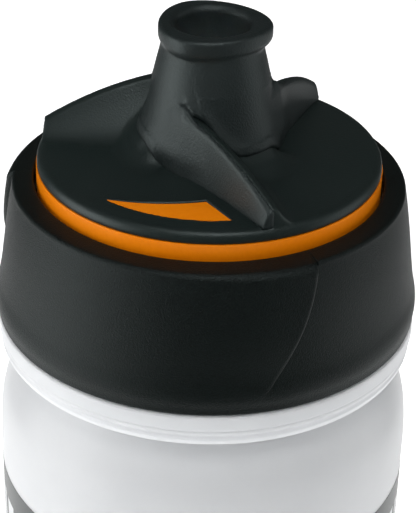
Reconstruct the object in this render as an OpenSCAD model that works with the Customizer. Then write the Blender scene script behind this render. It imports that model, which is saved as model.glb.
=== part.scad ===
// Squeeze bottle for a bicycle, with a screw collar and a twist cap.
// Z is up. The origin is the centre of the base, and the front is towards -Y.
// Heights in the lid modules count from the collar's lower edge, at lid_z.

/* [Bottle] */
// Outer radius of the body, as a bottle cage grips it
body_r = 37; // [36.6:0.1:37.4]
// Height of the collar's lower edge above the base
lid_z = 153; // [140:1:175]
// Wall thickness of the body
wall = 1.2; // [0.9:0.1:1.6]
// Depth of the finger groove in the body
waist_depth = 2.6; // [1:0.2:4]

/* [Screw thread] */
// Rise of the thread in one turn
thread_pitch = 6; // [5.6:0.1:6.4]
// Length of each thread, in turns
thread_turns = 1.5; // [1:0.1:1.6]

/* [Collar] */
// Radius of the hole that the twist cap sits in
hole_r = 29.75; // [29.6:0.05:30]
// Height of the collar
collar_h = 24.7; // [24.5:0.1:25]

/* [Twist cap] */
// Radius of the cap's black disc
cap_r = 29.1; // [28.8:0.1:29.2]
// Height of the orange ring that shows when the valve is open
ring_shown = 2.46; // [2:0.02:2.6]
// How far the cap sinks when it is turned shut
cap_travel = 2.4; // [2:0.1:2.5]
// How far the cap turns, in degrees
cap_turn = 90; // [60:5:90]

/* [Mouthpiece] */
// Radius of the drinking hole
drink_r = 6.25; // [5.5:0.05:6.4]
// Height of the lip above the collar's lower edge
lip_top = 52.3; // [51:0.1:54]

/* [Hidden] */
$fn = 96;

milky = [0.86, 0.88, 0.88];
black = [0.13, 0.14, 0.14];
soft_grey = [0.25, 0.26, 0.27];
orange = [0.95, 0.52, 0.02];
silicone = [0.75, 0.78, 0.8];

// Neck of the bottle
neck_r = 31.3;      // outside of the wall, at the thread's root
neck_bore_r = 29.6;
neck_h = 14;        // from the collar's lower edge to the rim
rib_depth = 1.3;    // how far the thread stands out
rib_root = 1.35;    // half the rib's height at its root
rib_crest = 0.85;   // half the rib's height at its crest
neck_rib_z = 3.2;   // middle of the neck's thread where it starts
collar_in_r = 33.2;

// Collar
collar_top_r = 33.6;
seat_out_r = 31.8;
seat_z = 15.6;      // underside of the seat's flange, on the gasket
flange_t = 1.6;
lip_t = 2.5;        // thickness of the collar's top

// Valve seat
cup_r = 27;         // outside of the cup that hangs in the neck
cup_z = 9;
floor_t = 1.6;
tube_in_r = 11.5;   // bore of the guide tube
tube_out_r = 13.15;
tube_top = 22.6;
post_r = 2.6;
post_foot_h = 5;
port_r = 2.4;
port_ring_r = 7;
slot_floor_r = 12.25;
slot_half = 1.4;    // half the height of a cam slot
lug_half = 0.9;     // half the height of a cam lug
lug_angle = 14;
lug_z = 19;         // middle of the lugs with the valve open
slot_play = 3;      // spare angle at the ends of a cam slot, in degrees

// Core of the twist cap
ring_r = 29.25;
ring_in_r = 27.7;
ring_z = 20.4;      // lower edge of the ring, inside the collar
cap_z = collar_h + ring_shown;   // underside of the black disc
core_plate = 2;
plate_z = cap_z - core_plate;
sleeve_out_r = 11.2;
sleeve_in_r = 9.6;
sleeve_z = 13.6;
cam_z = 14;         // lower edge of the sleeve that carries the lugs
cam_in_r = 13.5;
cam_out_r = 15.1;
throat_r = 5.2;
nozzle_in_r = 5.6;
nozzle_out_r = 7.6;
nozzle_top = 42.7;
oring_z = 17;
oring_mid_r = 10.85;
oring_t = 1.2;      // thickness of the O-ring's cord

// Plug on the centre post, which closes the throat
plug_z = plate_z - cap_travel - 0.05;   // its sealing face
plug_r = throat_r - 0.3;
plug_flange_r = 7;
plug_skirt_r = 4;
post_top = plug_z + 1.1;

// Cover and its ridges
disc_top = 29.6;
wedge_top = 29.3;
ridge_turn = -51.3; // direction of the first ridge, seen from above
ridge_side = 8.75;  // how far each ridge passes from the axis
ridge_peak = 40.5;
ridge_fall = 0.011; // the crest drops by this times the distance squared
crest_half = 1.1;   // from the ridge's line to where the hollow starts
wall_side = 0.3;    // from the ridge's line to its steep side
leg_t = 0.9;        // thickness of the soft legs
leg_peak = 38.7;

// Mouthpiece
skirt_z = disc_top;
parting_z = 42.7;
lip_z = 48.6;
pocket_r = 6.9;     // pocket that holds the valve, inside the neck
pocket_h = 2.8;
lip_r = 9.95;       // at its three rounded corners
flat_r = 12.48;     // radius of the three flatter sides
flat_shift = 3.58;  // how far each flatter side's centre is from the axis
tip_gap = 0.05;     // play between pieces that are pressed together

// Points on an arc, for outlines
function arc(cx, cy, r, a0, a1, n = 6) =
    [for (i = [0:n]) let (a = a0 + (a1 - a0) * i / n) [cx + r * cos(a), cy + r * sin(a)]];

// Faces of a closed solid whose m sections have n points each. Seen along the sections' order,
// the points go round clockwise.
function loft_faces(m, n) = concat(
    [[for (i = [0:n - 1]) i]],
    [for (s = [0:m - 2]) for (i = [0:n - 1]) let (j = (i + 1) % n)
        each [[s * n + i, (s + 1) * n + i, (s + 1) * n + j], [s * n + i, (s + 1) * n + j, s * n + j]]],
    [[for (i = [n - 1:-1:0]) (m - 1) * n + i]]);

// A point at radius r, angle a and height z
function polar(r, a, z) = [r * cos(a), r * sin(a), z];

// A rib that climbs round the Z axis from angle a0 through the angle sweep. Its outline has the
// radii r_root and r_crest and half the heights h_root and h_crest, and it fades out at its ends.
module climbing_rib(r_root, r_crest, h_root, h_crest, pitch, z0, a0, sweep, fade = 25, step = 7.5) {
    m = ceil(sweep / step) + 1;
    out = r_crest > r_root;
    sections = [for (i = [0:m - 1]) let (
        a = a0 + sweep * i / (m - 1),
        z = z0 + pitch * (a - a0) / 360,
        k = fade > 0 ? max(0.05, min(1, (a - a0) / fade, (a0 + sweep - a) / fade)) : 1,
        rc = r_root + (r_crest - r_root) * k,
        ring = [polar(r_root, a, z - h_root), polar(rc, a, z - h_crest),
                polar(rc, a, z + h_crest), polar(r_root, a, z + h_root)])
        each out ? [ring[3], ring[2], ring[1], ring[0]] : ring];
    polyhedron(sections, loft_faces(m, 4));
}

// Bottle

// Outside of the body from the base to the bead under the collar
waist_z = [62, 90];
function waist(z) = waist_depth * (1 - cos(360 * (z - waist_z[0]) / (waist_z[1] - waist_z[0]))) / 2;
foot = [[0, 4], [17, 3.2], [21, 0]];
foot_round = 6;
body_outline = concat(
    foot,
    arc(body_r - foot_round, foot_round, foot_round, -90, 0),
    [for (z = [waist_z[0]:2:waist_z[1]]) [body_r - waist(z), z]],
    [for (p = [[0, -26], [-0.1, -22], [-0.28, -20], [-0.61, -18], [-1.13, -16], [-1.9, -14.9]])
        [body_r + p[0], lid_z + p[1]]],
    [for (p = [[-3.4, -14.3], [-3.6, -13.8], [-3.1, -13], [-1.7, -12], [-1.07, -10], [-0.73, -8],
               [-0.45, -5.5], [-0.4, -3]]) [body_r + p[0], lid_z + p[1]]],
    arc(body_r - 1.6, lid_z - 2.2, 1.2, 0, 90));
neck_outline = [[neck_r, lid_z - 1], [neck_r, lid_z + neck_h - 0.6], [neck_r - 0.6, lid_z + neck_h],
                [neck_bore_r, lid_z + neck_h]];

module bottle_body() {
    // the outside moved in by the wall, from under the shoulder's rounding down to the base's
    inside = [for (i = [len(body_outline) - 4:-1:9]) body_outline[i] - [wall, 0]];
    color(milky) union() {
        rotate_extrude($fn = 180)
            polygon(concat(body_outline, neck_outline,
                           [[neck_bore_r, lid_z - 2.4], [body_r - 2.4 - wall, lid_z - 2.6]], inside,
                           arc(body_r - foot_round, foot_round, foot_round - wall, 0, -90),
                           [for (i = [2:-1:0]) foot[i] + [i / 4, wall]]));
        translate([0, 0, lid_z])
            climbing_rib(neck_r - 0.4, neck_r + rib_depth, rib_root, rib_crest, thread_pitch, neck_rib_z,
                         0, 360 * thread_turns);
    }
}

module lid_gasket() {
    color(silicone) translate([0, 0, lid_z]) rotate_extrude()
        polygon([[neck_bore_r + 0.1, neck_h], [collar_in_r - 0.3, neck_h], [collar_in_r - 0.3, seat_z],
                 [neck_bore_r + 0.1, seat_z]]);
}

// Lid

// Outside of the collar: radius lost below the widest part, by height
collar_side = [[0.5, 1.2], [0.04, 2.6], [0.1, 4.2], [0.62, 6], [1, 8], [1.55, 12], [2.1, 16],
               [2.75, 20], [3.35, 23.4]];
collar_r = 36.78;

module lid_collar() {
    top = collar_h - lip_t;
    color(black) translate([0, 0, lid_z]) union() {
        rotate_extrude($fn = 180)
            polygon(concat([[collar_in_r, 0], [collar_r - 1.4, 0]],
                           [for (p = collar_side) [collar_r - p[0], p[1]]],
                           [[collar_top_r - 1.2, collar_h], [hole_r, collar_h], [hole_r, top],
                            [seat_out_r, top], [seat_out_r, seat_z + flange_t],
                            [collar_in_r, seat_z + flange_t]]));
        climbing_rib(collar_in_r + 0.4, collar_in_r - rib_depth, rib_root, rib_crest, thread_pitch,
                     neck_rib_z - thread_pitch / 4, 90, 360 * thread_turns);
    }
}

module valve_seat() {
    slot_span = cap_turn + lug_angle + slot_play;
    color(milky) translate([0, 0, lid_z]) difference() {
        union() {
            // flange, wall and cup
            rotate_extrude($fn = 180)
                polygon([[0, cup_z], [cup_r - 1, cup_z], [cup_r, cup_z + 1], [cup_r, seat_z],
                         [collar_in_r - tip_gap, seat_z], [collar_in_r - tip_gap, seat_z + flange_t],
                         [seat_out_r - tip_gap, seat_z + flange_t],
                         [seat_out_r - tip_gap, collar_h - lip_t], [seat_out_r - 1.5, collar_h - lip_t],
                         [seat_out_r - 1.5, seat_z + flange_t], [cup_r - 1.6, seat_z + flange_t],
                         [cup_r - 1.6, cup_z + floor_t], [0, cup_z + floor_t]]);
            // guide tube
            difference() {
                translate([0, 0, cup_z]) cylinder(h = tube_top - cup_z, r = tube_out_r);
                translate([0, 0, cup_z + floor_t]) cylinder(h = tube_top, r = tube_in_r);
            }
            // centre post
            translate([0, 0, cup_z]) cylinder(h = post_foot_h, r = post_r + 0.8);
            translate([0, 0, cup_z]) cylinder(h = post_top - cup_z, r = post_r);
        }
        for (k = [0:5]) rotate([0, 0, 60 * k]) translate([port_ring_r, 0, cup_z - 1])
            cylinder(h = floor_t + 2, r = port_r);
        for (k = [0:2])
            rotate([0, 0, 120 * k])
                climbing_rib(slot_floor_r, tube_out_r + 1, slot_half, slot_half, 360 * cap_travel / cap_turn,
                             lug_z - cap_travel - cap_travel * (lug_angle + slot_play) / 2 / cap_turn,
                             -cap_turn - (lug_angle + slot_play) / 2, slot_span, fade = 0);
    }
}

module plug_seal() {
    color(silicone) translate([0, 0, lid_z]) rotate_extrude()
        polygon([[post_r + tip_gap, plug_z - 2.9], [plug_skirt_r, plug_z - 2.9], [plug_skirt_r, plug_z - 1.3],
                 [plug_flange_r, plug_z - 0.7], [plug_flange_r, plug_z], [plug_r, plug_z],
                 [plug_r, plug_z + cap_travel - 0.5], [plug_r - 0.5, plug_z + cap_travel],
                 [0, plug_z + cap_travel], [0, post_top + tip_gap], [post_r + tip_gap, post_top + tip_gap]]);
}

module stem_oring() {
    color(silicone) translate([0, 0, lid_z + oring_z]) rotate_extrude()
        translate([oring_mid_r, 0]) circle(d = oring_t, $fn = 32);
}

// Twist cap

// Outline of the orange pointer: the space between two arcs, cut off straight on its right
module wedge_outline(grow = 0) {
    intersection() {
        difference() {
            circle(r = 25.2 + grow);
            translate([-8.4, 10.2]) circle(r = 30.4 - grow);
        }
        polygon([[-0.34 + grow, -19.1 + grow], [5.1 + grow, -27.05], [-20, -27.05], [-20, -15 + grow]]);
    }
}

module cap_core() {
    color(orange) translate([0, 0, lid_z]) {
        difference() {
            union() {
                // plate with its outer ring, which shows above the collar
                rotate_extrude($fn = 180)
                    polygon([[0, plate_z], [ring_in_r, plate_z], [ring_in_r, ring_z], [ring_r, ring_z],
                             [ring_r, cap_z], [0, cap_z]]);
                // sleeve that carries the O-ring, and the sleeve that carries the lugs
                translate([0, 0, sleeve_z]) cylinder(h = cap_z - sleeve_z, r = sleeve_out_r);
                difference() {
                    translate([0, 0, cam_z]) cylinder(h = plate_z - cam_z + 0.5, r = cam_out_r);
                    translate([0, 0, cam_z - 1]) cylinder(h = plate_z - cam_z + 1, r = cam_in_r);
                }
                // nozzle
                translate([0, 0, plate_z]) cylinder(h = nozzle_top - plate_z, r = nozzle_out_r);
            }
            translate([0, 0, sleeve_z - 1]) cylinder(h = plate_z - sleeve_z + 1, r = sleeve_in_r);
            translate([0, 0, plate_z - 1]) cylinder(h = core_plate + 3, r = throat_r);
            translate([0, 0, cap_z + 1]) cylinder(h = nozzle_top, r = nozzle_in_r);
            // groove of the O-ring
            translate([0, 0, oring_z - oring_t / 2 - tip_gap]) difference() {
                cylinder(h = oring_t + 2 * tip_gap, r = sleeve_out_r + 1);
                translate([0, 0, -1]) cylinder(h = oring_t + 3, r = oring_mid_r - oring_t / 2 - tip_gap);
            }
        }
        // cam lugs
        for (k = [0:2])
            rotate([0, 0, 120 * k - lug_angle / 2])
                rotate_extrude(angle = lug_angle)
                    translate([slot_floor_r + 0.3, lug_z - lug_half])
                        square([cam_in_r - slot_floor_r, 2 * lug_half]);
        // pointer
        translate([0, 0, cap_z - 0.5]) linear_extrude(wedge_top - cap_z + 0.5) wedge_outline();
    }
}

// Height of a crest x mm along the ridge, and the width of the hollow beside it there
function crest(x) = ridge_peak - ridge_fall * x * x;
function scoop_w(x) = 15.1 - 0.41 * x;

// Solid under one crest, with the hollow that leads down from it
module ridge() {
    stations = [for (x = [5:2.5:30]) x];
    root = disc_top - 1.2;
    low = disc_top - 0.4;
    sections = [for (x = stations) let (
        top = crest(x),
        hollow = [for (i = [5:-1:0])
            [crest_half + i / 5 * scoop_w(x), low + (top - 0.2 - low) * pow(1 - i / 5, 2)]],
        side = [[0.3, top], [-wall_side, top - 0.3], [-wall_side, root]])
        each [for (p = concat([[crest_half + scoop_w(x), root]], hollow, side))
            [x, p[0] - ridge_side, p[1]]]];
    polyhedron(sections, loft_faces(len(stations), 10));
}

// Soft leg that covers the steep side of a ridge
module soft_leg() {
    translate([0, -ridge_side - wall_side - tip_gap, 0]) rotate([90, 0, 0])
        linear_extrude(leg_t)
            polygon(concat([[0, disc_top + tip_gap], [27.3, disc_top + tip_gap]],
                           [for (x = [26.9, 23, 19, 15, 11, 7]) [x, min(leg_peak, crest(x) - 0.3)]],
                           [[0, leg_peak]]));
}

// The flared skirt and the neck of the spout, with its sides moved out by grow
module skirt_solid(grow = 0) {
    rotate_extrude()
        polygon(concat([[0, skirt_z]],
                       [for (p = [[10.5, skirt_z], [11.6, 31.2], [11.95, 33], [11.4, 35.5], [10.4, 39],
                                  [9.77, parting_z], [8.45, lip_z]]) [p[0] + grow, p[1]]],
                       [[0, lip_z]]));
}

module cap_cover() {
    color(black) translate([0, 0, lid_z]) difference() {
        union() {
            rotate_extrude($fn = 180)
                polygon(concat([[0, cap_z], [cap_r - 0.3, cap_z], [cap_r, cap_z + 0.3]],
                               arc(cap_r - 1, disc_top - 1, 1, 0, 90), [[0, disc_top]]));
            intersection() {
                for (k = [0:2]) rotate([0, 0, ridge_turn + 120 * k]) ridge();
                translate([0, 0, cap_z]) cylinder(h = 20, r = cap_r - 0.6);
            }
        }
        translate([0, 0, cap_z - 1]) cylinder(h = 20, r = nozzle_out_r + tip_gap);
        skirt_solid(tip_gap);
        translate([0, 0, cap_z - 1]) linear_extrude(5) wedge_outline(0.1);
    }
}

module lip_outline() {
    // three flats joined by rounded corners
    intersection() {
        circle(r = lip_r);
        for_flats() circle(r = flat_r);
    }
}

// Common area of the child at three places round the axis, each pushed away from its flat
module for_flats() {
    intersection() {
        rotate([0, 0, -60]) translate([-flat_shift, 0]) children();
        rotate([0, 0, 60]) translate([-flat_shift, 0]) children();
        rotate([0, 0, 180]) translate([-flat_shift, 0]) children();
    }
}

module mouthpiece() {
    color(soft_grey) translate([0, 0, lid_z]) difference() {
        union() {
            skirt_solid();
            for (k = [0:2]) rotate([0, 0, ridge_turn + 120 * k]) soft_leg();
            intersection() {
                translate([0, 0, lip_z]) linear_extrude(lip_top - lip_z) lip_outline();
                rotate_extrude()
                    polygon([[0, lip_z], [8.7, lip_z], [10, lip_z + 1.1], [10, lip_top - 0.6], [9.4, lip_top],
                             [0, lip_top]]);
            }
        }
        translate([0, 0, skirt_z - 1]) cylinder(h = nozzle_top - skirt_z + 1.05, r = nozzle_out_r + tip_gap);
        translate([0, 0, nozzle_top]) cylinder(h = pocket_h, r = pocket_r);
        translate([0, 0, nozzle_top]) cylinder(h = 20, r = drink_r);
        translate([0, 0, lip_top - 0.6]) cylinder(h = 0.7, r1 = drink_r, r2 = drink_r + 0.7);
    }
}

module membrane_valve() {
    color(silicone) translate([0, 0, lid_z + nozzle_top + tip_gap]) difference() {
        rotate_extrude()
            polygon([[0, 1.3], [1.6, 1.15], [3.2, 0.7], [4.6, 0], [pocket_r - tip_gap, 0],
                     [pocket_r - tip_gap, 1.2], [4.8, 1.2], [3.4, 1.5], [1.7, 2], [0, 2.2]]);
        // cross slit
        for (a = [0, 90]) rotate([0, 0, a]) translate([-3.4, -0.06, -1]) cube([6.8, 0.12, 5]);
    }
}

module valve_retainer() {
    color(milky) translate([0, 0, lid_z + nozzle_top + 1.25]) difference() {
        cylinder(h = 1.5, r = pocket_r - tip_gap);
        translate([0, 0, -1]) cylinder(h = 4, r = 4.8);
    }
}

bottle_body();
lid_gasket();
lid_collar();
valve_seat();
plug_seal();
stem_oring();
cap_core();
cap_cover();
mouthpiece();
membrane_valve();
valve_retainer();
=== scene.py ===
"""Bicycle bottle with a screw collar and a twist cap, built round its CAD frame.

Shapes are worked out in millimetres, with heights from the collar's lower edge, and are placed by
the collar's box in the frame. The front of the bottle is towards -Y.
"""

import math

import bpy
import numpy as np
from mathutils import Matrix, Vector


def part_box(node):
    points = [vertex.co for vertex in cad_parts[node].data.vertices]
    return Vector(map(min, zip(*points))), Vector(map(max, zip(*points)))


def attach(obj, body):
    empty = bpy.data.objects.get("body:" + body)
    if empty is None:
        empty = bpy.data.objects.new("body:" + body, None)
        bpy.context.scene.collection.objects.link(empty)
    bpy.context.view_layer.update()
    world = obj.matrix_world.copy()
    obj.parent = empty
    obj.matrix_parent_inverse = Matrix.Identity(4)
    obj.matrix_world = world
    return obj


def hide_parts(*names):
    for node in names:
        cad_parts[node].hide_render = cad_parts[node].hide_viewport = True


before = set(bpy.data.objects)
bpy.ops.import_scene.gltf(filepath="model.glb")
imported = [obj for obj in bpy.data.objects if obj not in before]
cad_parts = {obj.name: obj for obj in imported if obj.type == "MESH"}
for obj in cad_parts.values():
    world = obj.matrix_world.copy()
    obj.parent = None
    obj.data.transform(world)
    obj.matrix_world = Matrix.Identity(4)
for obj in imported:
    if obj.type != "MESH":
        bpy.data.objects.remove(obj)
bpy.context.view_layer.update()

MM = 0.001
LID_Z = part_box("lid_collar")[0][2]              # the collar's lower edge, in metres
COLLAR_TOP = (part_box("lid_collar")[1][2] - LID_Z) / MM
DISC_Z = (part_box("cap_cover")[0][2] - LID_Z) / MM   # underside of the cap's black disc
DISC_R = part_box("cap_cover")[1][0] / MM
LIP_TOP = (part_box("mouthpiece")[1][2] - LID_Z) / MM
BODY_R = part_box("bottle_body")[1][0] / MM
NECK_TOP = (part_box("bottle_body")[1][2] - LID_Z) / MM
BASE_Z = -LID_Z / MM

# ---------------------------------------------------------------- small helpers


def smooth_curve(xs, ys):
    """A function that passes smoothly through the points, for arrays of x."""
    xs, ys = np.asarray(xs, float), np.asarray(ys, float)
    slopes = np.gradient(ys, xs)

    def value(x):
        x = np.clip(x, xs[0], xs[-1])
        k = np.clip(np.searchsorted(xs, x) - 1, 0, len(xs) - 2)
        h = xs[k + 1] - xs[k]
        t = (x - xs[k]) / h
        return (
            (1 + 2 * t) * (1 - t) ** 2 * ys[k]
            + t * (1 - t) ** 2 * h * slopes[k]
            + t**2 * (3 - 2 * t) * ys[k + 1]
            + t**2 * (t - 1) * h * slopes[k + 1]
        )

    return value


def smooth_min(a, b, k):
    """The smaller of two fields, with their meeting line filled to about the radius k."""
    h = np.clip(0.5 + 0.5 * (b - a) / k, 0, 1)
    return b + (a - b) * h - k * h * (1 - h)


def smooth_max(a, b, k):
    """The larger of two fields, with their meeting line rounded to about the radius k."""
    return -smooth_min(-a, -b, k)


def ease(x, a, b):
    """0 below a, 1 above b, and smooth between them."""
    t = np.clip((x - a) / (b - a), 0, 1)
    return t * t * (3 - 2 * t)


def arc(cx, cz, r, a0, a1, n=6):
    """Points of an outline's round corner, from angle a0 to a1 in degrees."""
    angles = np.radians(np.linspace(a0, a1, n + 1))
    return [(cx + r * math.cos(a), cz + r * math.sin(a)) for a in angles]


def new_piece(name, points, faces, material, body, stands_for=()):
    """A smooth mesh from points in mm in the lid's frame, riding on a body."""
    points = np.asarray(points, float) * MM
    points[:, 2] += LID_Z
    mesh = bpy.data.meshes.new(name)
    mesh.from_pydata(points.tolist(), [], [tuple(map(int, f)) for f in faces])
    mesh.validate()
    mesh.update()
    mesh.polygons.foreach_set("use_smooth", np.ones(len(mesh.polygons), bool))
    mesh.materials.append(material)
    obj = bpy.data.objects.new(name, mesh)
    bpy.context.scene.collection.objects.link(obj)
    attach(obj, body)
    if stands_for:
        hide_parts(*stands_for)
    return obj


def sharpen(obj, degrees):
    """Marks edges that bend more than this as sharp, so that flats stay flat."""
    obj.data.set_sharp_from_angle(angle=math.radians(degrees))


def lathe(rows, closed, angles):
    """Points and faces of a turned shape. rows is an array of (row, column, (r, z)), and angles has
    one angle for each row and column. An end row on the axis becomes one point."""
    m, n, _ = rows.shape
    r, z = rows[..., 0], rows[..., 1]
    points = np.stack([r * np.cos(angles), r * np.sin(angles), z], -1).reshape(-1, 3)
    faces = []
    for j in range(m if closed else m - 1):
        k = (j + 1) % m
        for i in range(n):
            h = (i + 1) % n
            faces.append((j * n + i, j * n + h, k * n + h, k * n + i))
    if closed:
        return points, faces
    keep, index = [], np.zeros(m * n, int)
    for j in range(m):
        on_axis = np.all(r[j] < 1e-6)
        for i in range(n):
            if on_axis and i:
                index[j * n + i] = index[j * n]
            else:
                index[j * n + i] = len(keep)
                keep.append(j * n + i)
    slim = []
    for f in faces:
        g = [index[v] for v in f]
        g = [v for i, v in enumerate(g) if v != g[i - 1]]
        if len(g) > 2:
            slim.append(tuple(g))
    return points[keep], slim


def surface_net(field, low, high, step):
    """Closed mesh of the surface where field is 0 and negative inside, from a grid of that step."""
    low, high = np.asarray(low, float), np.asarray(high, float)
    count = np.ceil((high - low) / step).astype(int) + 1
    axes = [low[k] + step * np.arange(count[k]) for k in range(3)]
    value = field(*np.meshgrid(*axes, indexing="ij", sparse=True))
    value = np.where(np.abs(value) < 1e-9, 1e-9, value)
    inside = value < 0
    cells = tuple(count - 1)
    total = np.zeros(cells + (3,), np.float32)
    hits = np.zeros(cells, np.int16)
    crossings = []
    for axis in range(3):
        a = [slice(None)] * 3
        b = [slice(None)] * 3
        a[axis], b[axis] = slice(None, -1), slice(1, None)
        va, vb = value[tuple(a)], value[tuple(b)]
        cross = inside[tuple(a)] != inside[tuple(b)]
        t = np.where(cross, va / np.where(cross, va - vb, 1), 0)
        crossings.append((cross, inside[tuple(a)]))
        others = [k for k in range(3) if k != axis]
        for da in (0, 1):
            for db in (0, 1):
                s = [slice(None)] * 3
                s[others[0]] = slice(da, da + cells[others[0]])
                s[others[1]] = slice(db, db + cells[others[1]])
                c, tt = cross[tuple(s)], t[tuple(s)]
                hits += c
                total[..., axis] += np.where(c, tt, 0)
                total[..., others[0]] += np.where(c, da, 0)
                total[..., others[1]] += np.where(c, db, 0)
    used = hits > 0
    number = -np.ones(cells, np.int64)
    number[used] = np.arange(used.sum())
    where = np.argwhere(used)
    points = low + step * (where + total[used] / hits[used][:, None])
    faces = []
    for axis, (cross, start_inside) in enumerate(crossings):
        p, q = [(1, 2), (2, 0), (0, 1)][axis]
        s = [slice(None)] * 3
        s[p], s[q] = slice(1, -1), slice(1, -1)
        spots = np.argwhere(cross[tuple(s)])
        spots[:, p] += 1
        spots[:, q] += 1
        flip = start_inside[tuple(spots.T)]
        ring = []
        for dp, dq in ((-1, -1), (0, -1), (0, 0), (-1, 0)):
            c = spots.copy()
            c[:, p] += dp
            c[:, q] += dq
            ring.append(number[tuple(c.T)])
        quad = np.stack(ring, 1)
        quad[~flip] = quad[~flip][:, ::-1]
        faces.append(quad)
    faces = np.concatenate(faces)
    # settle the points on the surface
    for _ in range(3):
        f0 = field(*points.T)
        e = step * 0.05
        slope = np.stack(
            [(field(*(points + e * d).T) - field(*(points - e * d).T)) / (2 * e) for d in np.eye(3)], 1
        )
        move = -(f0 / np.maximum((slope**2).sum(1), 0.2))[:, None] * slope
        length = np.linalg.norm(move, axis=1, keepdims=True)
        points = points + move * np.minimum(1, 0.3 * step / np.maximum(length, 1e-9))
    return points, faces


# ---------------------------------------------------------------- the cap's black surface

RIDGE_ANGLES = np.radians([-51.3, 68.7, 188.7])   # directions of the three ridges
RIDGE_SIDE = 8.75      # how far each ridge's line passes from the axis
CREST_MID = 40.5       # height of a crest in line with the axis, and how fast it falls outwards
CREST_FALL = 0.011
WALL_Q = -0.3          # the ridge's steep side
CREST_Q = 1.1          # where the hollow beside the crest starts
CREST_DROP = 0.6       # how much the crest's top slants down towards the hollow
FLOOR_MID = 29.95      # height of the disc's top near the spout, and at its edge
FLOOR_RIM = 29.25
FLOOR_DIP = 0.15       # how far the hollows run into the disc's top
HUB_R = 11.8           # where the raised foot of the spout's lobes starts to fall
HUB_W = 5.5            # how wide it is
HUB_RISE = 3.9         # how high


def along(x, y, angle):
    """Distance along a ridge's line, and beside it."""
    c, s = math.cos(angle), math.sin(angle)
    return x * c + y * s, -x * s + y * c + RIDGE_SIDE


def turned(x, y, angle):
    """Angle from a ridge's direction, in degrees from -180 to 180."""
    return (np.degrees(np.arctan2(y, x) - angle) + 180) % 360 - 180


def floor_height(r):
    """Height of the disc's slightly domed top."""
    return FLOOR_RIM + (FLOOR_MID - FLOOR_RIM) * (1 - np.clip(r / 28, 0, 1) ** 2)


def crest_height(s):
    """Height of a ridge's crest."""
    return CREST_MID - CREST_FALL * s * s


def ridge_height(x, y, angle):
    """Height of one ridge, with the hollow beside it and the raised foot under the spout's lobe."""
    s, q = along(x, y, angle)
    r = np.hypot(x, y)
    floor = floor_height(r)
    edge = crest_height(s) - CREST_DROP
    width = np.maximum(15.1 - 0.41 * s, 3.5)
    t = np.clip((q - CREST_Q) / width, 0, 1)
    hollow = floor - FLOOR_DIP + (edge - floor + FLOOR_DIP) * (1 - t) ** 2.1
    top = edge + CREST_DROP * (CREST_Q - q) / (CREST_Q - WALL_Q)
    profile = np.where(q < CREST_Q, top, hollow)
    phi = turned(x, y, angle)
    rise = HUB_RISE * (1 - ease(phi, 14, 46)) * ease(phi, -75, -55)
    swell = rise * (1 - np.clip((r - HUB_R) / HUB_W, 0, 1)) ** 2
    foot = floor - FLOOR_DIP + swell
    return smooth_max(profile, foot, 0.05 + 2.4 * np.clip(swell / 1.5, 0, 1))


def ridge_field(x, y, z, angle):
    """One ridge with its hollow, from the axis out to just inside the disc's rim."""
    s, q = along(x, y, angle)
    height = ridge_height(x, y, angle)
    e = 0.05
    dx = (ridge_height(x + e, y, angle) - ridge_height(x - e, y, angle)) / (2 * e)
    dy = (ridge_height(x, y + e, angle) - ridge_height(x, y - e, angle)) / (2 * e)
    surface = (z - height) / np.sqrt(1 + dx * dx + dy * dy)
    ridge = smooth_max(surface, WALL_Q - q, 0.7)
    ridge = smooth_max(ridge, 3 - s, 0.3)
    return smooth_max(ridge, np.hypot(x, y) - (DISC_R - 0.55), 0.5)


# ---------------------------------------------------------------- spout

SPOUT_R = smooth_curve(
    [29, 30, 31, 32, 33, 34, 35, 37, 39, 41, 42.7, 45, 48.7, 53],
    [11.3, 11.35, 11.55, 11.8, 11.9, 11.75, 11.45, 10.9, 10.4, 10.02, 9.77, 9.27, 8.45, 8.4],
)
LEG_PEAK = 40.2        # height where the legs leave the spout
LEG_BLEND = 3.2        # radius of the hollow between the spout and its legs
HOLE_R = 6.25          # the drinking hole
NOZZLE_R = 7.65        # the bore round the core's nozzle, up to NOZZLE_TOP
NOZZLE_TOP = 42.75
POCKET_R = 6.9         # the pocket for the valve, up to POCKET_TOP
POCKET_TOP = 45.5
PARTING_Z = 42.7       # the fine ridge round the neck
LIP_SIDES = np.radians([-60, 60, 180])   # directions of the lip's three flatter sides
LIP_SIDE_R = 12.5
LIP_SIDE_SHIFT = 3.58  # how far a flatter side's centre is from the axis
LIP_CORNER_R = 9.95


def bell_field(x, y, z):
    """The spout's flared body, with a narrow round rim where it sits on a ridge's hollow."""
    r = np.hypot(x, y)
    clear = np.full(np.broadcast(x, y, z).shape, 9.0)
    for angle in RIDGE_ANGLES:
        phi = turned(x, y, angle)
        away = ridge_field(x, y, z, angle) + 8 * ease(phi, 30, 60) + 8 * ease(-phi, 60, 80)
        clear = np.minimum(clear, away)
    flare = 0.5 * np.exp(-((np.maximum(clear, 0.3) - 0.3) / 1.5) ** 2)
    t = np.clip(1 - clear / 0.5, 0, 1)
    rounding = 0.5 * (1 - np.sqrt(np.maximum(1 - t * t, 0)))
    return (r - SPOUT_R(z) - flare + rounding) * 0.95


def leg_field(x, y, z, angle):
    """A leg of the spout: a soft layer on a ridge's steep side, thinner towards its top."""
    s, q = along(x, y, angle)
    top = np.minimum(LEG_PEAK, crest_height(s) - 0.1)
    floor = floor_height(np.hypot(x, y))
    up = np.clip((z - floor) / np.maximum(top - floor, 0.1), 0, 1)
    out = 1.45 - 0.75 * up + 0.3 * ease(s, 20, 28) * (1 - up)
    leg = smooth_max(-(q + out), q - (WALL_Q + 0.3), 0.1)
    leg = smooth_max(leg, z - top, 0.5)
    leg = smooth_max(leg, ((z - top) - (q + out) + 0.55) * 0.707, 0.5)
    leg = np.maximum(leg, -3 - s)
    return smooth_max(leg, np.hypot(x, y) - (DISC_R - 0.4), 0.15)


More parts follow.
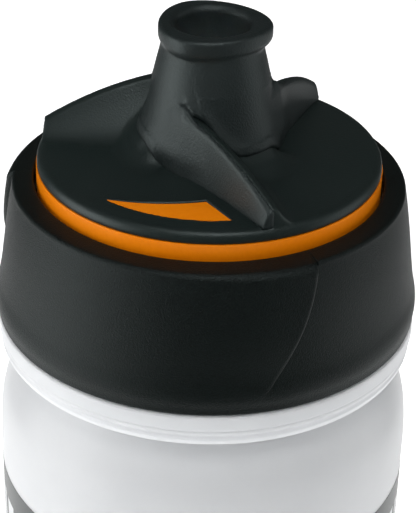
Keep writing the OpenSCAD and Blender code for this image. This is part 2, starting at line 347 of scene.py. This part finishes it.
def lip_field(x, y, z):
    """The three-lobed lip at the top of the spout."""
    reach = -1e3
    for angle in LIP_SIDES:
        cx, cy = -LIP_SIDE_SHIFT * math.cos(angle), -LIP_SIDE_SHIFT * math.sin(angle)
        reach = smooth_max(reach, np.hypot(x - cx, y - cy) - LIP_SIDE_R, 0.6)
    reach = smooth_max(reach, np.hypot(x, y) - LIP_CORNER_R, 0.9)
    under = (reach + 0.1 + (LIP_TOP - 2.75 - z)) * 0.707
    lip = smooth_max(reach, z - LIP_TOP, 0.9)
    lip = smooth_max(lip, under, 0.5)
    return smooth_max(lip, LIP_TOP - 3.75 - z, 0.4)


def spout_field(x, y, z):
    """The whole spout, hollow, resting on the cap's black surface."""
    r = np.hypot(x, y)
    outside = smooth_max(bell_field(x, y, z), z - (LIP_TOP - 2), 0.2)
    for angle in RIDGE_ANGLES:
        # the leg flows out of the bell on its steep side, and stops short at the rim on the other
        s, q = along(x, y, angle)
        blend = 0.3 + LEG_BLEND * (1 - ease(q, -0.9, 0.4)) * ease(s, -1, 6)
        outside = smooth_min(outside, leg_field(x, y, z, angle), blend)
    outside = smooth_min(outside, lip_field(x, y, z), 0.35)
    outside = outside - 0.06 * np.exp(-(((z - PARTING_Z) / 0.16) ** 2))
    outside = np.maximum(outside, black_gap(x, y, z))
    bore = r - np.where(z < NOZZLE_TOP, NOZZLE_R, np.where(z < POCKET_TOP, POCKET_R, HOLE_R))
    funnel = (r - (HOLE_R + 0.75) - (z - LIP_TOP)) * 0.707
    bore = smooth_min(bore, funnel, 0.4)
    return smooth_max(outside, -bore, 0.12)


def black_gap(x, y, z):
    """Ends the spout a little inside the cap's black surface, which it is moulded on to."""
    gap = floor_height(np.hypot(x, y)) - 0.25 - z
    for angle in RIDGE_ANGLES:
        gap = np.maximum(gap, -0.3 - ridge_field(x, y, z, angle))
    return gap


# ---------------------------------------------------------------- cap cover

SKIRT_R = 10.0         # bore of the cover above the core's plate
SKIRT_Z = 29.2


def wedge_distance(x, y, grow):
    """Negative inside the pointer's outline: between two arcs, left of a slanting line."""
    outer = np.hypot(x, y) - 25.2 - grow
    inner = 30.4 - grow - np.hypot(x + 8.4, y - 10.2)
    nx, ny = 0.825, 0.565
    side = (x + 0.34) * nx + (y + 19.1) * ny - grow
    return np.maximum(np.maximum(outer, inner), side)


def cover_field(x, y, z):
    """The black disc with its ridges, the hole for the core's nozzle and the pointer's opening."""
    r = np.hypot(x, y)
    disc = smooth_max(z - floor_height(r), r - DISC_R, 1.5)
    disc = smooth_max(disc, DISC_Z - z, 0.25)
    for angle in RIDGE_ANGLES:
        disc = smooth_min(disc, ridge_field(x, y, z, angle), 0.14)
    disc = np.maximum(disc, DISC_Z - z)
    disc = np.maximum(disc, NOZZLE_R - r)
    disc = np.where(z > SKIRT_Z, np.maximum(disc, SKIRT_R - r), disc)
    return smooth_max(disc, -wedge_distance(x, y, 0.06), 0.12)


# ---------------------------------------------------------------- materials


def material(name):
    """A new material with its nodes, links and main shader."""
    mat = bpy.data.materials.new(name)
    mat.use_nodes = True
    nodes = mat.node_tree.nodes
    return mat, nodes, mat.node_tree.links, nodes["Principled BSDF"]


def noise(nodes, links, scale, detail=3.0, rough=0.5):
    """Noise over the object's own coordinates, in metres."""
    coords = nodes.new("ShaderNodeTexCoord")
    tex = nodes.new("ShaderNodeTexNoise")
    tex.inputs["Scale"].default_value = scale
    tex.inputs["Detail"].default_value = detail
    tex.inputs["Roughness"].default_value = rough
    links.new(coords.outputs["Object"], tex.inputs["Vector"])
    return tex


def ramp(nodes, links, source, stops):
    """A colour ramp over a node's output, from (place, colour) stops."""
    node = nodes.new("ShaderNodeValToRGB")
    while len(node.color_ramp.elements) < len(stops):
        node.color_ramp.elements.new(0.5)
    for e, (place, colour) in zip(node.color_ramp.elements, stops):
        e.position = place
        e.color = (*colour, 1)
    links.new(source, node.inputs["Fac"])
    return node


def moulded(name, dark, light, roughness, spread, grain_scale, grain, specular=0.5, speck=0.5):
    """Moulded plastic or rubber: mottled and specked colour, uneven gloss and a surface grain."""
    mat, nodes, links, bsdf = material(name)
    large = noise(nodes, links, 60, 4.0)
    small = noise(nodes, links, grain_scale, 2.0, 0.6)
    mixed = nodes.new("ShaderNodeMix")
    mixed.inputs["Factor"].default_value = speck
    links.new(large.outputs["Fac"], mixed.inputs["A"])
    links.new(small.outputs["Fac"], mixed.inputs["B"])
    colour = ramp(nodes, links, mixed.outputs["Result"], [(0.36, dark), (0.64, light)])
    links.new(colour.outputs["Color"], bsdf.inputs["Base Color"])
    gloss = nodes.new("ShaderNodeMapRange")
    gloss.inputs["To Min"].default_value = roughness - spread
    gloss.inputs["To Max"].default_value = roughness + spread
    links.new(small.outputs["Fac"], gloss.inputs["Value"])
    links.new(gloss.outputs["Result"], bsdf.inputs["Roughness"])
    bump = nodes.new("ShaderNodeBump")
    bump.inputs["Strength"].default_value = 1.0
    bump.inputs["Distance"].default_value = grain
    links.new(small.outputs["Fac"], bump.inputs["Height"])
    links.new(bump.outputs["Normal"], bsdf.inputs["Normal"])
    bsdf.inputs["Specular IOR Level"].default_value = specular
    return mat, bsdf


def black(name, dark, light, *rest, **more):
    """Black plastic or rubber, with a cool sheen."""
    mat, bsdf = moulded(name, dark, light, *rest, **more)
    bsdf.inputs["Specular Tint"].default_value = (0.87, 1.0, 0.99, 1)
    return mat


collar_mat = black(
    "collar_plastic", (0.0, 0.0, 0.0), (0.004, 0.008, 0.007), 0.50, 0.08, 4200, 0.00012, 0.34,
    speck=0.9
)
cover_mat = black(
    "cover_plastic", (0.007, 0.013, 0.012), (0.013, 0.019, 0.018), 0.42, 0.05, 3400, 0.00005, speck=0.7
)
spout_mat = black(
    "spout_elastomer", (0.006, 0.010, 0.010), (0.014, 0.019, 0.019), 0.49, 0.05, 3000, 0.00008, 0.62,
    speck=0.7
)
core_mat, _ = moulded(
    "core_plastic", (0.93, 0.235, 0.001), (0.98, 0.265, 0.002), 0.30, 0.03, 1500, 0.000004, 0.2
)
insert_mat, _ = moulded(
    "insert_plastic", (0.70, 0.71, 0.69), (0.78, 0.79, 0.77), 0.38, 0.05, 1500, 0.00001
)
silicone_mat, silicone_bsdf = moulded(
    "silicone", (0.60, 0.63, 0.64), (0.70, 0.73, 0.74), 0.35, 0.05, 1800, 0.00001
)
silicone_bsdf.inputs["Subsurface Weight"].default_value = 0.5
silicone_bsdf.inputs["Subsurface Scale"].default_value = 0.002
body_mat, body_bsdf = moulded(
    "milky_polyethylene", (0.69, 0.705, 0.725), (0.72, 0.735, 0.755), 0.36, 0.04, 900, 0.00001, 0.4,
    speck=0.1
)
body_bsdf.inputs["Subsurface Weight"].default_value = 0.85
body_bsdf.inputs["Subsurface Scale"].default_value = 0.003
body_bsdf.inputs["Subsurface Radius"].default_value = (1.0, 1.0, 1.0)
ink_mat, _ = moulded(
    "printing_ink", (0.035, 0.042, 0.042), (0.050, 0.058, 0.057), 0.34, 0.04, 1500, 0.00001
)

# ---------------------------------------------------------------- bottle body

THREAD_PITCH = 6.0
THREAD_TURNS = 1.5
RIB_DEPTH = 1.3        # how far a thread stands out
RIB_HALF = 1.35        # half its height at the root
NECK_RIB_Z = 3.2       # where the neck's thread and the collar's start
COLLAR_RIB_Z = 1.7
NECK_R = 31.3          # outside of the neck, at the thread's root
NECK_BORE = 29.6
COLLAR_IN_R = 33.2     # inside of the collar, at its thread's root
WALL = 1.2
FOOT_ROUND = 6         # radius round the body's lower edge
WAIST_LOW, WAIST_HIGH = 62, 90   # the hollow for the cage, above the base
WAIST_DEPTH = 2.6


def rib_height(phi, z, z_start, a_start):
    """How far the thread stands out at angle phi and height z."""
    sweep = 2 * math.pi * THREAD_TURNS
    best = np.zeros(np.broadcast(phi, z).shape)
    for turn in range(-1, 4):
        a = phi - a_start + 2 * math.pi * turn
        d = np.abs(z - (z_start + THREAD_PITCH * a / (2 * math.pi)))
        shape = np.clip((RIB_HALF - d) / 0.5, 0, 1)
        shape = shape * shape * (3 - 2 * shape)
        fade = ease(a, 0, 0.45) * ease(sweep - a, 0, 0.45)
        best = np.maximum(best, shape * fade)
    return RIB_DEPTH * best


def waist(z):
    """How far the body is drawn in at a height."""
    t = (z - BASE_Z - WAIST_LOW) / (WAIST_HIGH - WAIST_LOW)
    return np.where((t > 0) & (t < 1), WAIST_DEPTH / 2 * (1 - np.cos(2 * math.pi * t)), 0)


def make_body():
    """The squeeze bottle: one closed wall from the base's middle, up the outside and down the inside."""
    outside = [(0, BASE_Z + 4), (8, BASE_Z + 3.9), (15, BASE_Z + 3.4)]
    outside += [(17.5, BASE_Z + 2.9), (19.5, BASE_Z + 1.6), (20.6, BASE_Z + 0.5), (21.6, BASE_Z)]
    outside += arc(BODY_R - FOOT_ROUND, BASE_Z + FOOT_ROUND, FOOT_ROUND, -90, 0, 10)
    outside += [(BODY_R - float(waist(z)), z) for z in BASE_Z + np.linspace(12, 127.5, 82)]
    shoulder = smooth_curve(
        [-25, -23.3, -21.6, -19.9, -18.1, -16.4, -14.7, -13.1, -11.5, -10, -8.6],
        [36.96, 36.9, 36.8, 36.62, 36.35, 35.92, 35.3, 34.65, 33.95, 33.2, 32.7],
    )
    outside += [(float(shoulder(z)), z) for z in np.linspace(-25, -8.6, 40)]
    outside += [(32.6, -7.6), (32.75, -6.95), (33.4, -6.35), (34.8, -6.0), (35.7, -5.8)]
    outside += arc(35.85, -5.35, 0.42, -70, 0, 5)
    bead = smooth_curve(
        [-5.2, -4.9, -4.5, -4.1, -3.7, -3.35, -3.1, -2.9, -2.4],
        [36.27, 36.33, 36.2, 36.22, 36.42, 36.4, 36.3, 36.55, 36.6],
    )
    outside += [(float(bead(z)), z) for z in np.linspace(-5.2, -2.4, 29)]
    outside += arc(BODY_R - 0.9, -0.75, 0.5, 0, 90, 6)
    neck = [(NECK_R + 0.5, -0.25)] + [(NECK_R, z) for z in np.linspace(0, NECK_TOP - 0.7, 60)]
    neck += arc(NECK_R - 0.6, NECK_TOP - 0.6, 0.6, 0, 90, 4)
    lip = [(NECK_BORE + 0.3, NECK_TOP), (NECK_BORE, NECK_TOP - 0.3)]
    inner_neck = [(NECK_BORE, z) for z in (8, 3, -1.8)] + [(NECK_BORE + 0.6, -2.4)]
    inside = [(34.6, -2.6), (35.0, -3.1), (35.0, -4.2), (34.4, -4.8)]
    inside += [(32.4, -5.2), (31.5, -6.3), (31.4, -7.8)]
    inside += [(float(shoulder(z)) - WALL, z) for z in np.linspace(-8.6, -25, 16)]
    inside += [(BODY_R - WALL - float(waist(z)), z) for z in BASE_Z + np.linspace(125, 12, 50)]
    inside += arc(BODY_R - FOOT_ROUND, BASE_Z + FOOT_ROUND, FOOT_ROUND - WALL, 0, -90, 8)
    inside += [(21.8, BASE_Z + WALL), (19.6, BASE_Z + 2.8), (17, BASE_Z + 4.2)]
    inside += [(8, BASE_Z + 5.1), (0, BASE_Z + 5.2)]
    profile = np.array(outside + neck + lip + inner_neck + inside, float)
    first = len(outside) + 1
    last = len(outside) + len(neck) - 5
    n = 240
    angles = np.linspace(0, 2 * math.pi, n, endpoint=False)[None, :].repeat(len(profile), 0)
    rows = profile[:, None, :].repeat(n, 1)
    for j in range(first, last):
        rows[j, :, 0] += rib_height(angles[j], rows[j, :, 1], NECK_RIB_Z, 0.0)
    points, faces = lathe(rows, False, angles)
    new_piece("bottle_shell", points, faces, body_mat, "bottle", ["bottle_body"])


BAND_TOP, BAND_LOW = -31.5, -60.0
BARS_TOP, BARS_LOW = -37.2, -52.5
BAR_WIDTHS = (6.5, 2.2, 4.6, 2.0, 7.6, 2.4, 5.4, 2.2)   # bare and inked in turn, in degrees
INK_OUT, INK_IN = 0.035, 0.02   # how far the skin stands out of the body, and is sunk in it


def make_print():
    """A plain printed band: dark ink with a row of bare upright bars, as a very thin closed skin."""
    edges, bare = [0.0], []
    k = 0
    while edges[-1] < 359.9:
        width = BAR_WIDTHS[k % len(BAR_WIDTHS)]
        left = 360 - edges[-1] - width
        width = width + left if left < 3 else width
        for _ in range(4):
            edges.append(edges[-1] + width / 4)
            bare.append(k % 2 == 0)
        k += 1
    edges = edges[:-1]
    n = len(edges)
    slant = [0.9 * math.sin(1.7 * i) for i in range(n)]
    levels = [
        [BAND_TOP] * n,
        [BARS_TOP + 0.6 * slant[i // 8] for i in range(n)],
        [BARS_LOW + 0.9 * slant[i // 16] for i in range(n)],
        [BAND_LOW] * n,
    ]
    points, faces = [], []
    for r in (BODY_R + INK_OUT, BODY_R - INK_IN):
        for level in levels:
            points += [(r * math.cos(a), r * math.sin(a), z) for a, z in zip(np.radians(edges), level)]

    def edge(row, i):
        """Points of the skin, outer and inner, at a level and an angle."""
        outer = row * n + i % n
        return outer, outer + len(levels) * n

    inked = [[row != 1 or not bare[i] for i in range(n)] for row in range(3)]
    for row in range(3):
        for i in range(n):
            if not inked[row][i]:
                continue
            (a, a_in), (b, b_in) = edge(row, i), edge(row, i + 1)
            (c, c_in), (d, d_in) = edge(row + 1, i), edge(row + 1, i + 1)
            faces.append((c, d, b, a))
            faces.append((a_in, b_in, d_in, c_in))
            if row == 0 or not inked[row - 1][i]:
                faces.append((a, b, b_in, a_in))
            if row == 2 or not inked[row + 1][i]:
                faces.append((c_in, d_in, d, c))
            if not inked[row][i - 1]:
                faces.append((c, a, a_in, c_in))
            if not inked[row][(i + 1) % n]:
                faces.append((d_in, b_in, b, d))
    band = new_piece("printed_band", points, faces, ink_mat, "bottle")
    sharpen(band, 30)


make_body()
make_print()

# ---------------------------------------------------------------- collar

COLLAR_SIDE = smooth_curve(
    [1.2, 2.6, 4.2, 6, 8, 12, 16, 20, 24.7],
    [36.55, 36.74, 36.6, 36.16, 35.8, 35.22, 34.68, 34.06, 33.2],
)
HOLE_IN = 29.75        # the collar's top opening
SEAT_R = 31.8          # the recess under its top, where the valve seat sits
STEP_ANGLE = -58.6     # where the first panel's step meets the top edge
STEP_FACE = 0.2        # how many degrees a step's face takes
SWELL = 1.0            # how far a panel rises over the next one's start
TOP_SLOPE = 0.4        # how far the top falls from the hole to the outer edge
EDGE_TURN = 1.5        # how many degrees the rounded end of a panel takes


def seam(z):
    """How far the panels' steps lag behind, in degrees, at a height."""
    d = COLLAR_TOP - z
    return -0.2 * d - 0.026 * d * d


def collar_column(t):
    """The collar's closed outline at the place t along a panel, from 0 past a step to 1 at the next."""
    short = np.clip((1 - t) * 120 / EDGE_TURN, 0, 1)     # runs out over the panel's rounded end
    swell = SWELL * t**4 * math.sqrt(1 - (1 - short) ** 2)
    round_r = 0.75 + 1.4 * t**3
    z_top = COLLAR_TOP - TOP_SLOPE - round_r
    side = [(COLLAR_SIDE(z) + swell * float(ease(z, 2, 14)), z) for z in np.linspace(0.6, z_top, 36)]
    edge_r = side[-1][0] - round_r
    corner = arc(edge_r, z_top, round_r, 4, 80, 9)
    width = HOLE_IN + 0.35 - edge_r
    top = [(edge_r + width * k, COLLAR_TOP - TOP_SLOPE * (1 - k)) for k in (0.3, 0.6, 0.9)]
    hole = arc(HOLE_IN + 0.35, COLLAR_TOP - 0.35, 0.35, 90, 180, 4) + [(HOLE_IN, COLLAR_TOP - 2.5)]
    inner = [(SEAT_R, COLLAR_TOP - 2.5), (SEAT_R, 17.2), (COLLAR_IN_R, 17.2), (COLLAR_IN_R, 14)]
    inner += [(COLLAR_IN_R, z) for z in np.linspace(13.4, 0.5, 46)]
    under = [(COLLAR_IN_R + 0.5, 0), (COLLAR_SIDE(1.2) - 1.1, 0)]
    under += arc(COLLAR_SIDE(1.2) - 0.5, 0.5, 0.5, -85, -8, 5)
    return under + side + corner + top + hole + inner


def make_collar():
    """The screw collar: three panels that end in a slanting step, and a thread inside."""
    near = 1 - np.linspace(EDGE_TURN, 0, 9)[:-1] / 120
    ts = np.concatenate([[0, 0.004, 0.012, 0.025], np.linspace(0.05, 0.93, 32), [0.96, 0.98], near, [1.0]])
    columns = [collar_column(t) for t in ts]
    profile = np.array(columns, float).transpose(1, 0, 2)
    rows = np.concatenate([profile] * 3, axis=1)
    sector = STEP_FACE + (120 - STEP_FACE) * ts
    degrees = np.concatenate([STEP_ANGLE + 120 * k + sector for k in range(3)])
    angles = np.radians(degrees[None, :] + seam(rows[..., 1]))
    threaded = (np.abs(rows[..., 0] - COLLAR_IN_R) < 1e-6) & (rows[..., 1] < 13.5)
    ribs = rib_height(np.mod(angles, 2 * math.pi), rows[..., 1], COLLAR_RIB_Z, math.pi / 2)
    rows[..., 0] -= np.where(threaded, ribs, 0)
    points, faces = lathe(rows, True, angles)
    collar = new_piece("collar_shell", points, faces, collar_mat, "lid", ["lid_collar"])
    sharpen(collar, 40)


make_collar()

# ---------------------------------------------------------------- twist cap

NET_STEP = 0.36


def make_cap():
    """The black disc with its ridges, and the soft spout on it."""
    reach = DISC_R + 0.8
    low, high = (-reach, -reach, DISC_Z - 0.7), (reach, reach, 42)
    points, faces = surface_net(cover_field, low, high, NET_STEP)
    new_piece("cap_disc", points, faces, cover_mat, "cap", ["cap_cover"])
    low, high = (-reach, -reach, 28.6), (reach, reach, LIP_TOP + 0.8)
    points, faces = surface_net(spout_field, low, high, NET_STEP)
    new_piece("spout", points, faces, spout_mat, "cap", ["mouthpiece"])


make_cap()

# the CAD pieces that stay as they are get a material only
NODE_MATERIALS = {
    "cap_core": core_mat,
    "valve_seat": insert_mat,
    "valve_retainer": insert_mat,
    "lid_gasket": silicone_mat,
    "plug_seal": silicone_mat,
    "stem_oring": silicone_mat,
    "membrane_valve": silicone_mat,
}
for node, mat in NODE_MATERIALS.items():
    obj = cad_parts[node]
    for k in range(max(1, len(obj.material_slots))):
        if not obj.material_slots:
            obj.data.materials.append(mat)
        obj.material_slots[k].material = mat

# ---------------------------------------------------------------- floor, light and camera


def make_floor(name, x0, y0, x1, y1, in_gloss):
    """One part of the pale floor. Shiny surfaces see only the part behind the bottle."""
    mesh = bpy.data.meshes.new(name)
    corners = [(x0, y0, 0), (x1, y0, 0), (x1, y1, 0), (x0, y1, 0)]
    mesh.from_pydata(corners, [], [(0, 1, 2, 3)])
    floor = bpy.data.objects.new(name, mesh)
    bpy.context.scene.collection.objects.link(floor)
    mesh.materials.append(floor_mat)
    floor.visible_glossy = in_gloss
    floor.visible_shadow = False


def area_light(name, place, target, size, size_y, radiance, in_gloss=True):
    """A soft box, at a brightness of its face."""
    data = bpy.data.lights.new(name, "AREA")
    data.shape = "RECTANGLE"
    data.size = size
    data.size_y = size_y
    data.energy = radiance * math.pi * size * size_y
    light = bpy.data.objects.new(name, data)
    light.location = place
    light.rotation_euler = (Vector(target) - Vector(place)).to_track_quat("-Z", "Y").to_euler()
    light.visible_camera = False
    light.visible_glossy = in_gloss
    bpy.context.scene.collection.objects.link(light)


floor_mat, floor_nodes, floor_links, floor_bsdf = material("floor_paper")
paper = noise(floor_nodes, floor_links, 40)
tint = ramp(floor_nodes, floor_links, paper.outputs["Fac"], [(0.3, (0.90,) * 3), (0.7, (0.93,) * 3)])
floor_links.new(tint.outputs["Color"], floor_bsdf.inputs["Base Color"])
floor_bsdf.inputs["Roughness"].default_value = 0.9
floor_bsdf.inputs["Specular IOR Level"].default_value = 0.1
floor_bsdf.inputs["Emission Color"].default_value = (1, 1, 1, 1)
floor_bsdf.inputs["Emission Strength"].default_value = 0.75
make_floor("floor_back", -0.3, -0.1, 0.3, 0.5, True)
make_floor("floor_left", -6, -6, -0.3, 6, False)
make_floor("floor_right", 0.3, -6, 6, 6, False)
make_floor("floor_front", -0.3, -6, 0.3, -0.1, False)
make_floor("floor_far", -0.3, 0.5, 0.3, 6, False)

# the camera sees a pale wall behind the floor, and the bottle gets only a little light from it
world = bpy.data.worlds.new("studio")
world.use_nodes = True
world_nodes, world_links = world.node_tree.nodes, world.node_tree.links
sky = world_nodes["Background"]
sky.inputs["Strength"].default_value = 0.05
paper_sky = world_nodes.new("ShaderNodeBackground")
paper_sky.inputs["Strength"].default_value = 0.95
path = world_nodes.new("ShaderNodeLightPath")
pick = world_nodes.new("ShaderNodeMixShader")
world_links.new(path.outputs["Is Camera Ray"], pick.inputs["Fac"])
world_links.new(sky.outputs["Background"], pick.inputs[1])
world_links.new(paper_sky.outputs["Background"], pick.inputs[2])
world_links.new(pick.outputs["Shader"], world_nodes["World Output"].inputs["Surface"])
for shade in (sky, paper_sky):
    shade.inputs["Color"].default_value = (1, 1, 1, 1)
bpy.context.scene.world = world
bpy.context.scene.view_settings.view_transform = "Standard"

LID_POINT = (0, 0, LID_Z + 0.02)
area_light("front_top", (0.10, -0.58, 0.98), LID_POINT, 0.55, 0.5, 4.6)
area_light("left", (-0.80, -0.16, 0.14), LID_POINT, 0.7, 0.8, 2.5)
area_light("right", (0.80, 0.05, 0.14), LID_POINT, 0.5, 0.8, 0.85)
area_light("left_fill", (-0.55, -0.35, 0.90), LID_POINT, 0.6, 0.6, 1.2, False)
area_light("backdrop", (0.0, 0.55, 0.95), (0, 0.50, 0), 1.2, 0.8, 1.0, False)

# the camera of the photograph, fitted to the bottle's round edges in its 416 x 513 pixels
FOCAL = 1655           # in pixels
camera_data = bpy.data.cameras.new("camera")
camera_data.sensor_width = 36
camera_data.lens = 36 * FOCAL / 513
camera = bpy.data.objects.new("camera", camera_data)
yaw, pitch, roll = 0.00075, 0.53065, 0.02648   # in radians
forward = Vector((math.sin(yaw) * math.cos(pitch), math.cos(yaw) * math.cos(pitch), -math.sin(pitch)))
right0 = forward.cross(Vector((0, 0, 1))).normalized()
up0 = right0.cross(forward)
right = right0 * math.cos(roll) + up0 * math.sin(roll)
up = -right0 * math.sin(roll) + up0 * math.cos(roll)
camera.matrix_world = Matrix.Translation((0, -0.24996, LID_Z + 0.15472)) @ Matrix(
    (
        (right.x, up.x, -forward.x, 0),
        (right.y, up.y, -forward.y, 0),
        (right.z, up.z, -forward.z, 0),
        (0, 0, 0, 1),
    )
)
camera_data.clip_start = 0.01
bpy.context.scene.collection.objects.link(camera)
bpy.context.scene.camera = camera
